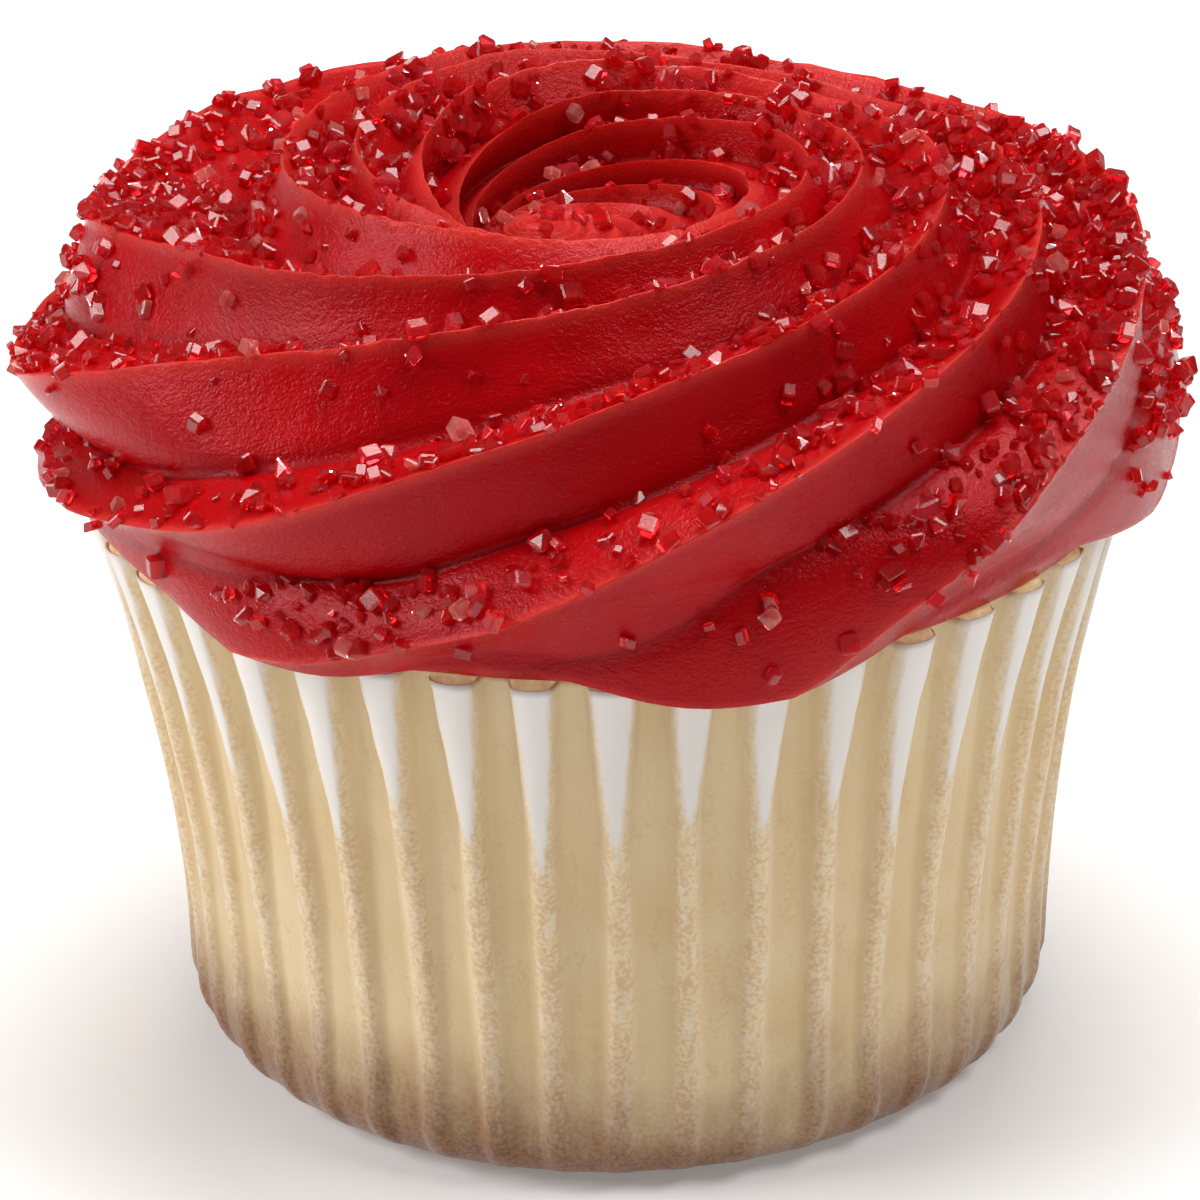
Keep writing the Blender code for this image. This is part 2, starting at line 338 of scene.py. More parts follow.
# %% [markdown]
# ## From folds to a wall
# The folds are shallow at the foot and deepest at the rim, and they run out into the flat
# bottom. Neighbouring flutes blend their own depths across the valley between them, or a step
# would show there. Two sizes of noise crumple the paper, drawn out along the height.

# %% Reach of the wall
DEPTH_AT_FOOT = 0.42
DEPTH_GAINED = 1.6              # what the folds gain from the foot to the rim
DEPTH_POWER = 1.9
FLUTE_RUN_OUT = 2.3             # below this height the folds flatten into the bottom
CRUMPLE_RADIUS = 30.0           # radius at which the crumples are drawn
CRUMPLE_STRETCH = 0.4           # under 1, crumples run up and down
CRUMPLES = ((1.6, 0.0, 0.05), (4.5, 31.0, 0.2))     # size in mm, seed, depth in mm
CRUMPLE_RUN_OUT = 3.0


def fold_depth(angle, height):
    """Depth of the folds in mm."""
    place = flute_place(angle)
    flute = np.floor(place).astype(int)
    onward = smooth_step(0.0, 1.0, place - flute)
    own = (1.0 - onward) * flute_depth[flute % FLUTES] + onward * flute_depth[(flute + 1) % FLUTES]
    depth = (DEPTH_AT_FOOT + DEPTH_GAINED * (height / RIM_HEIGHT) ** DEPTH_POWER) * own
    return depth * np.clip(height / FLUTE_RUN_OUT, 0.0, 1.0)


def wall_reach(angle, height):
    """Radius of the paper's outer side with its folds and crumples, then both fold masks."""
    fold, dry = fold_shape(angle, height)
    reach = wall_radius(height) - fold * fold_depth(angle, height)
    place = np.stack([CRUMPLE_RADIUS * np.cos(angle), CRUMPLE_RADIUS * np.sin(angle),
                      CRUMPLE_STRETCH * height], axis=-1)
    crumple = sum(roughen(place, size, seed) * depth for size, seed, depth in CRUMPLES)
    return reach + crumple * np.clip(height / CRUMPLE_RUN_OUT, 0.0, 1.0), fold, dry


front_depth = fold_depth(np.array([-math.pi / 2]), np.array([RIM_HEIGHT]))
print("the front flute is", round(float(front_depth[0]), 2), "mm deep at the rim")

# %% [markdown]
# ## The case as a body
# Paper has two sides. Solidify could add the inner one, but the outer and inner walls are known
# here as numbers, so the rings run from the middle of the bottom out, up the outside, over the
# rim and down the inside again. The masks go along, so the material knows ridge, valley and rim.

# %% Build the case
PAPER = 0.12                    # thickness
FLUTE_COLUMNS = 18
CORNER_ROWS = 9
WALL_ROWS = 56
BOTTOM_RINGS = (0.4, 0.8, 1.0)  # shares of the flat bottom's radius
case_turns = np.arange(FLUTES * FLUTE_COLUMNS) * 2.0 * math.pi / (FLUTES * FLUTE_COLUMNS)


def round_points(angle, reach, height):
    """Points at an angle round the axis, a reach from it, and a height."""
    return np.stack([reach * np.cos(angle), reach * np.sin(angle), height], axis=-1)


def case_heights():
    """Heights of the wall's rows, closer together round the bottom corner."""
    turns = np.linspace(0.0, math.pi / 2, CORNER_ROWS)[1:]
    wall = np.linspace(WALL_FOOT_HEIGHT, RIM_HEIGHT, WALL_ROWS)[1:]
    return np.concatenate([WALL_FOOT_HEIGHT * (1.0 - np.cos(turns)), wall])


def make_case():
    angle, height = np.meshgrid(case_turns, case_heights())
    reach, fold, dry = wall_reach(angle, height)
    outer = round_points(angle, reach, height)
    inner = round_points(angle, reach - PAPER, np.maximum(height, PAPER))[::-1]
    turns, spread = np.meshgrid(case_turns, BOTTOM_RINGS)
    bottom = round_points(turns, spread * BASE_FLAT_RADIUS, 0.0 * turns)
    floor = bottom[::-1] * (BASE_FLAT_RADIUS - PAPER) / BASE_FLAT_RADIUS + (0.0, 0.0, PAPER)
    case = closed_rings("paper_case_fine", np.concatenate([bottom, outer, inner, floor]))
    nothing = np.zeros(bottom.shape[:2])
    add_mask(case, "dry", np.concatenate([nothing, dry, dry[::-1], nothing]))
    add_mask(case, "fold", np.concatenate([nothing + 1, fold, fold[::-1], nothing + 1]))
    return case


case = make_case()

# %% [markdown]
# ## The finish of the paper
# Greaseproof paper is white where it is dry and turns clear where fat soaks in, so most of the
# wall shows the sponge behind it: cream gold in the valleys, mottled tan on the narrow ridges
# and toasted brown round the bottom. Towards the rim the wall is painted paler, a painted sheen.
# A picture wrapped round the wall would be quick, but it would stop at a seam. Layers of noise
# over the height and two masks give the same look.

# %% Paper colours
SOAKED = (color(223, 195, 147), color(230, 206, 163))
SPECKLE = color(190, 150, 98)
RIDGE_TONES = (color(232, 208, 168), color(206, 164, 116))
FROST = color(236, 226, 208)    # where a ridge barely touches the sponge
TOASTED = (color(150, 99, 60), color(90, 52, 30))
# painted sheen: the paler colour that the upper wall is blended towards
UPPER_PAINTED_SHEEN = color(226, 210, 170)
DRY_PAPER = color(233, 227, 220)
TOAST_HEIGHT = 10.5
# heights between which the painted sheen fades in
PAINTED_SHEEN_HEIGHTS = (18.0, 34.0)
print("dry paper reflects", round(DRY_PAPER[1], 2), "of the light and toast",
      round(TOASTED[1][1], 2))

# %% Paper material


def make_paper():
    paper = Finish("greaseproof_paper", Specular_IOR_Level=0.35, Sheen_Weight=0.35)
    height = paper.node("SeparateXYZ", None, {0: paper.place}, "Z")
    dry = paper.mask("dry")
    ridge = 1.0 - paper.mask("fold")
    fine = paper.grain(0.28, 3.0)
    mottle = paper.grain(1.3, 4.0, (1.0, 1.0, 0.6))
    broad = paper.grain(9.0, 2.0)
    soaked = paper.mix(paper.ramp(broad, 0.35, 0.65), *SOAKED)
    specks = paper.ramp(mottle * 0.6 + fine * 0.4, 0.52, 0.68)
    valley = paper.mix(specks * 0.22 + fine * 0.16, soaked, SPECKLE)
    flecks = paper.ramp(fine * 0.7 + mottle * 0.3, 0.42, 0.6)
    body = paper.mix(paper.ramp(ridge, 0.3, 0.75), valley, paper.mix(flecks * 0.6, *RIDGE_TONES))
    frost = paper.ramp(paper.grain(0.8, 4.0, (1.0, 1.0, 0.5)), 0.56, 0.66)
    body = paper.mix(frost * paper.ramp(ridge, 0.2, 0.8) * 0.4, body, FROST)
    uneven = height + (mottle - 0.5) * (5.0 * MM) + (broad - 0.5) * (9.0 * MM)
    toast = 1.0 - paper.ramp(uneven - ridge * (1.0 * MM), 0.0, TOAST_HEIGHT * MM)
    body = paper.mix(toast, body, paper.mix(flecks * 0.7, *TOASTED))
    # Painted sheen: the wall is painted paler towards the rim.
    painted_sheen = paper.ramp(height, PAINTED_SHEEN_HEIGHTS[0] * MM, PAINTED_SHEEN_HEIGHTS[1] * MM) * 0.35
    body = paper.mix(painted_sheen, body, UPPER_PAINTED_SHEEN)
    paper.paint("Base Color", paper.mix(dry, body, DRY_PAPER))
    paper.paint("Roughness", 0.45 + fine * 0.2 + dry * 0.1)
    paper.bump(fine * 0.6 + mottle, 0.05, 0.6)
    return paper.material


case.data.materials.append(make_paper())
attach(case, "root")
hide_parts("paper_case")
print("paper is ready")

# %% [markdown]
# ## The sponge
# Only a sliver of the sponge shows, inside the open tops of the flutes, but it must be there or
# the case would look empty. It is the inside of the paper wall, a little smaller, with a crumb
# relief on its crowned top. Making it from the wall's own function keeps it clear of the paper.

# %% Build the sponge
SPONGE_EDGE_HEIGHT = 36.2       # just over the rim, so that it shows in the flutes
SPONGE_CROWN_HEIGHT = round(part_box("sponge")[1][2] / MM, 1)
SPONGE_CROWN = SPONGE_CROWN_HEIGHT - SPONGE_EDGE_HEIGHT
SPONGE_CLEARANCE = 0.22         # gap to the paper on the wall
RIM_CLEARANCE = 0.05            # and the smaller gap near the rim, where it shows
SPONGE_DRAWN_IN = 0.8           # how far its edge draws in above the rim
SPONGE_ROWS = 28
CRUMBS = ((0.9, 0.0, 0.25), (2.5, 9.0, 0.2))        # size in mm, seed, height in mm
HIGHEST_CRUMB = 0.1
CRUMB_SINK = 0.15


def sponge_wall():
    """Rings up the side of the sponge, and the reach of the last one."""
    heights = np.concatenate([[0.5], np.linspace(1.0, RIM_HEIGHT - 0.3, SPONGE_ROWS),
                              np.linspace(RIM_HEIGHT - 0.1, SPONGE_EDGE_HEIGHT, 5)])
    angle, height = np.meshgrid(case_turns, heights)
    reach, _, _ = wall_reach(angle, height)
    near_rim = smooth_step(RIM_HEIGHT - 1.5, RIM_HEIGHT - 0.3, height)
    reach = reach - PAPER - SPONGE_CLEARANCE + (SPONGE_CLEARANCE - RIM_CLEARANCE) * near_rim
    reach = reach - SPONGE_DRAWN_IN * smooth_step(RIM_HEIGHT - 0.2, SPONGE_EDGE_HEIGHT, height)
    return round_points(angle, reach, height), reach[-1]


def sponge_top(edge_reach):
    """Rings from the edge to the middle of the crowned top, with crumbs."""
    shares = np.array([0.995, 0.985, *np.linspace(0.97, 0.04, 22)])[:, None]
    crown = SPONGE_EDGE_HEIGHT + SPONGE_CROWN * (1.0 - shares ** 2) + 0.0 * case_turns
    top = round_points(case_turns, shares * edge_reach, crown)
    crumb = sum(roughen(top, size, seed) * height for size, seed, height in CRUMBS)
    top[..., 2] += (np.minimum(crumb, HIGHEST_CRUMB) - CRUMB_SINK) * (1.0 - shares) ** 0.5
    return top


wall_rings, sponge_edge = sponge_wall()
sponge = closed_rings("sponge_fine", np.concatenate([wall_rings, sponge_top(sponge_edge)]))

# %% [markdown]
# ## The finish of the sponge
# Baked sponge is pale, dull and full of small holes. The slivers that show lie in deep, narrow
# gaps, where light bounces many times off pale paper and crumb. A faint glow stands for that.

# %% Sponge material
CRUMB_TONES = (color(224, 190, 136), color(244, 222, 174))
CRUMB_GLOW = color(234, 204, 156)


def make_crumb():
    crumb = Finish("baked_sponge", Roughness=0.85, Specular_IOR_Level=0.2,
                   Emission_Color=CRUMB_GLOW, Emission_Strength=0.22)
    holes = crumb.grain(0.7, 4.0)
    crumb.paint("Base Color", crumb.mix(crumb.ramp(holes, 0.4, 0.65), *CRUMB_TONES))
    crumb.bump(holes, 0.25)
    return crumb.material


sponge.data.materials.append(make_crumb())
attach(sponge, "root")
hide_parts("sponge")
print("sponge is ready")

# %% [markdown]
# ## The buttercream rosette
# The baker held a star nozzle with five teeth over the cake and moved it in a spiral, so five
# ridges run round and round and tighten to the middle. Sweeping a star along a spiral curve is
# the obvious way to model it, but neighbouring turns of real cream melt into one surface. So
# the rosette is one surface: a dome whose crests follow five spirals, with grooves pressed in
# between. A point on it is named by its length along the dome and by its ridge number, and the
# mesh follows the ridges, which keeps the thin crests sharp.

# %% Sizes of the dome, as in the frame
SWIRL_CENTRE = (-0.05, 0.3)
SIDE_RADIUS = 34.3              # radius at SIDE_HEIGHT, where the dome's foot stands upright
SIDE_HEIGHT = 41.6
DOME_RISE = 13.6
DOME_POWER = 2.5                # above 2 the shoulder is fuller than an ellipse
UNDERCUT = 0.05                 # how the side draws in below SIDE_HEIGHT, per mm
SKIRT_HEIGHT = 35.9
SKIRT_BAND = 5.0                # the skirt's waves run out over this length
CUP_DEPTH = 8.3                 # the hollow in the middle
CUP_RADIUS = 8.6
CUP_POWER = 2.9
HILL_RISE = 4.2                 # a low hill in the hollow, where the spiral starts
HILL_RADIUS = 5.5
SHOULDER_LENGTH = 32.8          # the shoulder is pushed out in a band round this length,
SHOULDER_WIDTH = 4.2            # this wide,
SHOULDER_PUSH = 2.5             # by this much all round,
SHOULDER_LOPSIDE = 2.5          # and by this much more in one direction
SHOULDER_SIDE = 123.0           # degrees
LEAN = (0.035, -0.03)           # the dome's slope along X and Y, growing from the skirt
LEAN_RISE = 8.0                 # height over which it grows
frosting_low, frosting_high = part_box("frosting")
print("the frame's rosette rises from", round(frosting_low[2] / MM, 1), "to",
      round(frosting_high[2] / MM, 1), "mm")

# %% The outline through the crests
OUTLINE_STEPS = 200
SIDE_STEPS = 20


def crest_outline():
    """The outline through the crests from the middle to the skirt: length, radius, height."""
    top_radii = SIDE_RADIUS * np.sin(np.linspace(0.0, math.pi / 2, OUTLINE_STEPS))
    dome = np.sqrt(np.clip(1.0 - (top_radii / SIDE_RADIUS) ** DOME_POWER, 0.0, 1.0))
    cup = CUP_DEPTH * np.exp(-(top_radii / CUP_RADIUS) ** CUP_POWER)
    cup = cup - HILL_RISE * np.exp(-(top_radii / HILL_RADIUS) ** 2)
    side_heights = np.linspace(SIDE_HEIGHT, SKIRT_HEIGHT, SIDE_STEPS)[1:]
    side_radii = SIDE_RADIUS - UNDERCUT * (SIDE_HEIGHT - side_heights) ** 2
    radii = np.concatenate([top_radii, side_radii])
    heights = np.concatenate([SIDE_HEIGHT + DOME_RISE * dome - cup, side_heights])
    steps = np.hypot(np.diff(radii), np.diff(heights))
    return np.concatenate([[0.0], np.cumsum(steps)]), radii, heights


outline_lengths, outline_radii, outline_heights = crest_outline()
EDGE_LENGTH = outline_lengths[-1]
print("from the middle to the skirt the cream measures", round(EDGE_LENGTH, 1), "mm")

# %% [markdown]
# ## Five spirals
# In a logarithmic spiral each turn is wider than the last by the same factor. That suits a
# rosette, whose ridges are thick at the skirt and fine in the middle. Five even spirals would
# look machined, though, so each ridge starts at its own angle and lags or hurries near the
# skirt, and all of them wander a little to one side.

# %% Where the ridges run, as in the frame
RIDGE_STARTS = (24.7, 83.3, 164.5, 237.1, 297.9)        # degrees
RIDGE_DELAYS = (-24.3, 14.6, -9.5, -26.9, -18.5)        # degrees at the skirt
RIDGES = len(RIDGE_STARTS)
SPIRAL_LENGTH = 46.3            # length of a ridge's start
SPIRAL_TURN = 264.8             # degrees in which the length shrinks by a factor e
DELAY_LIMIT = 1.1               # the delay grows up to this share of SPIRAL_LENGTH
WANDER = 24.1                   # degrees, how far the hand strays from an even spiral
WANDER_AT_MIDDLE = 165.1        # degrees, direction of the stray at the middle and at the skirt
WANDER_AT_SKIRT = -52.6
WANDER_STEPS = 14               # rounds in which the wandering angle settles


def spiral_angle(ridge, length):
    """Angle in radians at which a ridge passes a length from the middle."""
    share = length / SPIRAL_LENGTH
    numbers = np.arange(RIDGES + 1)
    even = np.interp(ridge, numbers, [*RIDGE_STARTS, RIDGE_STARTS[0] + 360.0])
    delay = np.interp(ridge, numbers, [*RIDGE_DELAYS, RIDGE_DELAYS[0]])
    even = even - SPIRAL_TURN * np.log(share) + delay * np.minimum(DELAY_LIMIT, share) ** 3
    side = WANDER_AT_MIDDLE + (WANDER_AT_SKIRT - WANDER_AT_MIDDLE) * np.minimum(1.0, share)
    angle = even
    for _ in range(WANDER_STEPS):
        angle = even - WANDER * np.cos(np.radians(angle + side))
    return np.radians(angle)


def ridge_spacing(length):
    """Distance between neighbouring ridges in mm."""
    return length * 360.0 / RIDGES / SPIRAL_TURN


print("ridges leave the skirt", round(ridge_spacing(SPIRAL_LENGTH), 1), "mm apart")

# %% [markdown]
# ## The profile between two crests
# Each tooth of the nozzle leaves a crest with a ragged, paper-thin lip. Below it the cream falls
# away in a smooth, slightly hollow face to a sharp crease, and from there a shelf runs out to
# the next crest. Its columns of points sit close together at the lip, where the shape is finest.

# %% Profile of a groove
RIDGE_COLUMNS = 36
CREST_CROWDING = 0.72           # from 0, even columns, to 1, bunched tightly at the crests
CREASE_SHARPNESS = 0.5          # from 0, a round groove, to 1, a V
CREASE_EXTRA = 0.1              # extra depth in the crease, as a share of the groove's
CREASE_WIDTH = 0.5
LIP_WIDTH = 0.22


def groove_profile(place):
    """Share of the groove's depth, at a place from a crest, 0, out to the next crest, 1."""
    away = np.abs(1.0 - 2.0 * place)
    return 1.0 - CREASE_SHARPNESS * away - (1.0 - CREASE_SHARPNESS) * away ** 2


def column_places():
    """Ridge numbers of the mesh columns all round, crowded at the crests."""
    even = np.arange(RIDGE_COLUMNS) / RIDGE_COLUMNS
    places = even - CREST_CROWDING * np.sin(2.0 * math.pi * even) / (2.0 * math.pi)
    return np.concatenate([number + places for number in range(RIDGES)])


print("the first columns beside a crest stand at", np.round(column_places()[:4], 3))

# %% [markdown]
# ## How deep the grooves are
# Near the skirt a groove is as deep as the nozzle's teeth. Further in the turns are closer
# together, so a groove can only be a share of their spacing, and right in the middle they melt
# into a point. On the low right side the hand pressed the cream flat, and at the back left it
# pulled away, so the grooves there are deeper.

# %% Depth of the grooves
GROOVE_DEPTH = 3.7              # this and the next five are as in the frame
GROOVE_SHARE = 0.46             # a groove's depth is at most this share of the ridge spacing
GROOVE_FADE = 5.9               # the grooves run out over this length above the skirt
SHALLOW_SIDE = 0.52             # the grooves lose this share of their depth low on the +X side
SHALLOW_FROM = 33.0
SHALLOW_OVER = 8.0
GROOVE_SHARE_INSIDE = 0.58      # the share within INSIDE_LENGTH
INSIDE_LENGTH = 15.0
MELTED = 0.45                   # what is left of a groove in the very middle
MELTED_LENGTHS = (2.5, 7.0)
GROOVE_AT_EDGE = 0.3            # what is left of a groove at the skirt's edge
DEEPER = 0.45                   # the grooves gain this share of their depth at the back left,
DEEP_SIDE = 130.0               # in this direction in degrees,
DEEP_LENGTHS = (30.0, 22.0)     # from the first of these lengths inwards


def one_side(angle, degrees=0.0):
    """1 in a direction, falling softly to 0 in the opposite one."""
    return (0.5 + 0.5 * np.cos(angle - math.radians(degrees))) ** 2


def above_edge(length):
    """0 at the skirt's edge, rising to 1 where the grooves have their full depth."""
    return np.clip((EDGE_LENGTH - length) / GROOVE_FADE, 0.0, 1.0)


def groove_depth(angle, length):
    """Depth of the grooves in mm."""
    inside = np.exp(-(length / INSIDE_LENGTH) ** 4)
    share = GROOVE_SHARE + (GROOVE_SHARE_INSIDE - GROOVE_SHARE) * inside
    share = share * (MELTED + (1.0 - MELTED) * smooth_step(*MELTED_LENGTHS, length))
    depth = np.minimum(GROOVE_DEPTH, share * ridge_spacing(length))
    depth = depth * (GROOVE_AT_EDGE + (1.0 - GROOVE_AT_EDGE) * above_edge(length))
    low = np.clip((length - SHALLOW_FROM) / SHALLOW_OVER, 0.0, 1.0)
    depth = depth * (1.0 - SHALLOW_SIDE * low * one_side(angle))
    return depth * (1.0 + DEEPER * one_side(angle, DEEP_SIDE) * smooth_step(*DEEP_LENGTHS, length))


for tried in (3.0, 10.0, 25.0):
    print("at", tried, "mm the grooves in front are",
          round(float(groove_depth(-math.pi / 2, np.array(tried))), 1), "mm deep")

# %% [markdown]
# ## The edge of the skirt and the unsteady hand
# The skirt ends in low lobes where a ridge runs out and in shallow bays between them. A sine
# wave would make them all alike, so the heights of the lobes and bays are listed and joined by
# smooth waves. A second list holds the few places where the hand strayed in the turns above.

# %% Skirt and stray touches
# angle in degrees and height of the skirt's edge
SKIRT_EDGE = ((25.0, 35.9), (60.0, 34.7), (100.0, 36.2), (130.0, 34.9), (160.0, 35.8),
              (190.0, 35.6), (208.0, 36.0), (238.0, 35.0), (257.0, 36.3), (280.0, 34.6),
              (316.0, 36.8), (352.0, 34.6))
# where the hand strayed: angle and length, their spreads, and how far out and up the cream went
TOUCHES = ((112.0, 26.0, 32.0, 12.0, 0.0, 1.1), (48.0, 26.0, 32.0, 12.0, 0.0, -1.3),
           (241.0, 40.0, 19.0, 4.0, 0.0, -1.3), (180.0, 35.0, 30.0, 4.5, 0.0, -2.2),
           (172.0, 28.5, 17.0, 3.0, 2.4, 0.0))


def skirt_rise(angle):
    """Height of the skirt's edge above the plain skirt, all round."""
    angles, heights = np.array(SKIRT_EDGE).T
    turn = np.degrees(angle) % 360.0
    after = np.searchsorted(angles, turn) % len(angles)
    start, end = angles[after - 1], angles[after]
    share = ((turn - start) % 360.0) / ((end - start) % 360.0)
    share = 0.5 - 0.5 * np.cos(math.pi * share)
    return heights[after - 1] + share * (heights[after] - heights[after - 1]) - SKIRT_HEIGHT


def touches(angle, length):
    """How far the hand's own unevenness moves the cream outwards and upwards."""
    outward, upward = 0.0, 0.0
    for side, middle, turn_spread, length_spread, out, up in TOUCHES:
        turn = (np.degrees(angle) - side + 180.0) % 360.0 - 180.0
        share = np.exp(-(turn / turn_spread) ** 2 - ((length - middle) / length_spread) ** 2)
        outward = outward + out * share
        upward = upward + up * share
    return outward, upward


front_edge = SKIRT_HEIGHT + float(skirt_rise(-math.pi / 2))
print("in front the skirt's edge stands at", round(front_edge, 1), "mm")

# %% [markdown]
# ## From numbers to points
# Now the parts come together: a point starts on the crest outline, sinks square to it by the
# groove's depth, follows the shoulder, the skirt and the stray touches, and must stay clear of
# the paper. Last come the things that a sculptor adds: soft swells and the ragged lip.

# %% Press the grooves into the dome
SKIRT_DRAWN_IN = 0.9            # how far the skirt's edge draws in,
SKIRT_TUCK = 0.9                # and how much more for each mm that it rises
SKIRT_CLEAR = 0.25              # gap between the skirt and the paper
MIDDLE_SHIFT = (-3.6, -0.8)     # the middle of the swirl lies this far from SWIRL_CENTRE
MIDDLE_BAND = 6.5               # length over which the ridges come back from there


def near_skirt(length):
    """1 at the skirt's edge, falling to 0 where its waves have run out."""
    return np.clip(1.0 - (EDGE_LENGTH - length) / SKIRT_BAND, 0.0, 1.0)


def outline_slope(length):
    """Steps outwards and upwards for each mm along the outline."""
    out = np.interp(length, outline_lengths, np.gradient(outline_radii, outline_lengths))
    up = np.interp(length, outline_lengths, np.gradient(outline_heights, outline_lengths))
    return out, up


def pressed_dome(angle, length, depth):
    """Points of the dome at a depth under its crests."""
    out, up = outline_slope(length)
    at_skirt, rise = near_skirt(length), skirt_rise(angle)
    band = np.exp(-((length - SHOULDER_LENGTH) / SHOULDER_WIDTH) ** 2)
    lopside = SHOULDER_LOPSIDE * np.cos(angle - math.radians(SHOULDER_SIDE))
    reach = np.interp(length, outline_lengths, outline_radii) + depth * up
    reach = reach + band * (SHOULDER_PUSH + lopside)
    reach = reach - (SKIRT_DRAWN_IN + SKIRT_TUCK * rise) * at_skirt
    level = np.interp(length, outline_lengths, outline_heights) - depth * out + rise * at_skirt
    over_paper = wall_radius(np.minimum(level, RIM_HEIGHT)) + SKIRT_CLEAR
    reach = np.where(at_skirt > 0.0, np.maximum(reach, over_paper), reach)
    outward, upward = touches(angle, length)
    points = round_points(angle, reach + outward, level + upward)
    shift = np.exp(-(length / MIDDLE_BAND) ** 2)
    points[..., 0] += SWIRL_CENTRE[0] + MIDDLE_SHIFT[0] * shift
    points[..., 1] += SWIRL_CENTRE[1] + MIDDLE_SHIFT[1] * shift
    return points


front_crest = pressed_dome(np.array(-math.pi / 2), np.array(SHOULDER_LENGTH), 0.0)
print("the shoulder in front stands at", np.round(front_crest, 1), "mm")

# %% Swells and the ragged lip
SWELLS = ((6.0, 3.0, 0.28), (1.8, 8.0, 0.06))       # size in mm, seed, height in mm
SWELL_GROWTH = 12.0             # length at which the swells have their full height
LEAST_SWELL = 0.2               # share of it that is left in the middle
LIP_HEIGHT = 0.22
LIP_GROWTH = 15.0               # the same two numbers for the lip
LEAST_LIP = 0.3
LIP_AT_EDGE = 0.4               # what is left of the lip at the skirt's edge
RAGGED_SIZE = 0.8
RAGGED = (0.6, 0.8)             # plain share of the lip, and what the noise adds or takes


def skin_height(points, length, beside):
    """How far the skin stands off the plain dome, at a distance from the next crest."""
    ragged = RAGGED[0] + RAGGED[1] * roughen(points, RAGGED_SIZE, 5.0)
    swell = sum(roughen(points, size, seed) * height for size, seed, height in SWELLS)
    swell = swell * np.clip(length / SWELL_GROWTH, LEAST_SWELL, 1.0) * (1.0 - near_skirt(length))
    lip = np.exp(-(beside / LIP_WIDTH) ** 2)
    lip = lip * (LIP_AT_EDGE + (1.0 - LIP_AT_EDGE) * above_edge(length))
    return swell + LIP_HEIGHT * lip * ragged * np.clip(length / LIP_GROWTH, LEAST_LIP, 1.0)


def add_skin(points, angle, length, beside):
    """Moves the points out by the skin's height, then leans the whole dome."""
    out, up = outline_slope(length)
    square = round_points(angle, -up, out)
    points = points + skin_height(points, length, beside)[..., None] * square
    risen = np.clip((points[..., 2] - SKIRT_HEIGHT) / LEAN_RISE, 0.0, 1.0)
    points[..., 2] += (LEAN[0] * points[..., 0] + LEAN[1] * points[..., 1]) * risen
    return points


print("the lip stands up to", round(sum(RAGGED) * LIP_HEIGHT, 2), "mm above its crest")

# %% Points of the rosette
MIDDLE_LENGTH = 1.0             # length of the mesh row next to the middle


def rosette_grid():
    """Ridge number and length of each point, in rows from the skirt to the middle."""
    numbers = column_places()
    turns = SPIRAL_TURN * math.log(EDGE_LENGTH / MIDDLE_LENGTH)
    rows = round(turns / (360.0 / len(numbers)))
    shrink = (MIDDLE_LENGTH / EDGE_LENGTH) ** (np.arange(rows + 1) / rows)
    return np.meshgrid(numbers, EDGE_LENGTH * shrink)


def rosette_points():
    """Rings of points, with their lengths, places, distances from a crest and crease-shade mask.
    """
    ridge, length = rosette_grid()
    angle = spiral_angle(ridge, length)
    place = ridge - np.floor(ridge)
    spacing = ridge_spacing(length)
    beside = np.minimum(place, 1.0 - place) * spacing
    in_crease = np.exp(-((place - 0.5) * spacing / CREASE_WIDTH) ** 2)
    depth = groove_depth(angle, length)
    depth = depth * (groove_profile(place) + CREASE_EXTRA * in_crease)
    points = add_skin(pressed_dome(angle, length, depth), angle, length, beside)
    return points, length, place, beside, in_crease * np.clip(depth, 0.0, 1.0)


cream_points, cream_length, cream_place, cream_beside, cream_crease_shade = rosette_points()
print("rosette surface has", cream_points.shape[0], "rows of", cream_points.shape[1], "points")

# %% [markdown]
# ## The underside
# The cream curls under at the skirt, clears the rim of the paper and lies on the sponge. It is
# hardly seen, so a few rings are enough, but they make the rosette a closed body.

# %% Build the rosette
CLEARANCE = 0.03                # gap between the cream and the sponge
CURL = 0.8                      # width of the skirt's underside
CURL_DROP = 0.15
PAST_RIM = 0.5                  # the cream clears the rim by at most this much
INSIDE_RIM = 1.0                # the rings on the sponge end this far inside the rim
UNDER_RINGS = (0.2, 0.4, 0.6, 0.8, 0.93, 1.0)
# width of the painted light along the crests
CREST_GLOW_WIDTH = 0.33


def underside_points(edge):
    """Rings from the middle of the sponge's crown out to the skirt's edge."""
    reach = np.hypot(edge[:, 0], edge[:, 1])[:, None]
    rings = []
    for share in UNDER_RINGS:
        ring = edge * (share * (rim_radius - INSIDE_RIM) / reach)
        ring[:, 2] = SPONGE_EDGE_HEIGHT + SPONGE_CROWN * (1.0 - share ** 2) + CLEARANCE
        rings.append(ring)
    lip = edge * (np.minimum(rim_radius + PAST_RIM, reach - CURL) / reach)
    lip[:, 2] = SPONGE_EDGE_HEIGHT + CLEARANCE
    middle = (lip + edge) / 2.0
    middle[:, 2] = np.minimum(lip[:, 2], edge[:, 2]) - CURL_DROP
    return np.stack([*rings, lip, middle])


under = underside_points(cream_points[0])
rosette = closed_rings("buttercream_rosette", np.concatenate([under, cream_points]), True)
# masks for the painted light on the crests, the painted shade in the creases and the painted light
# on the shelves
for mask_name, mask_values in (("crest", np.exp(-(cream_beside / CREST_GLOW_WIDTH) ** 2)),
                               ("crease", cream_crease_shade),
                               ("shelf", smooth_step(0.42, 0.6, cream_place))):
    add_mask(rosette, mask_name, np.concatenate([np.zeros(under.shape[:2]), mask_values]))

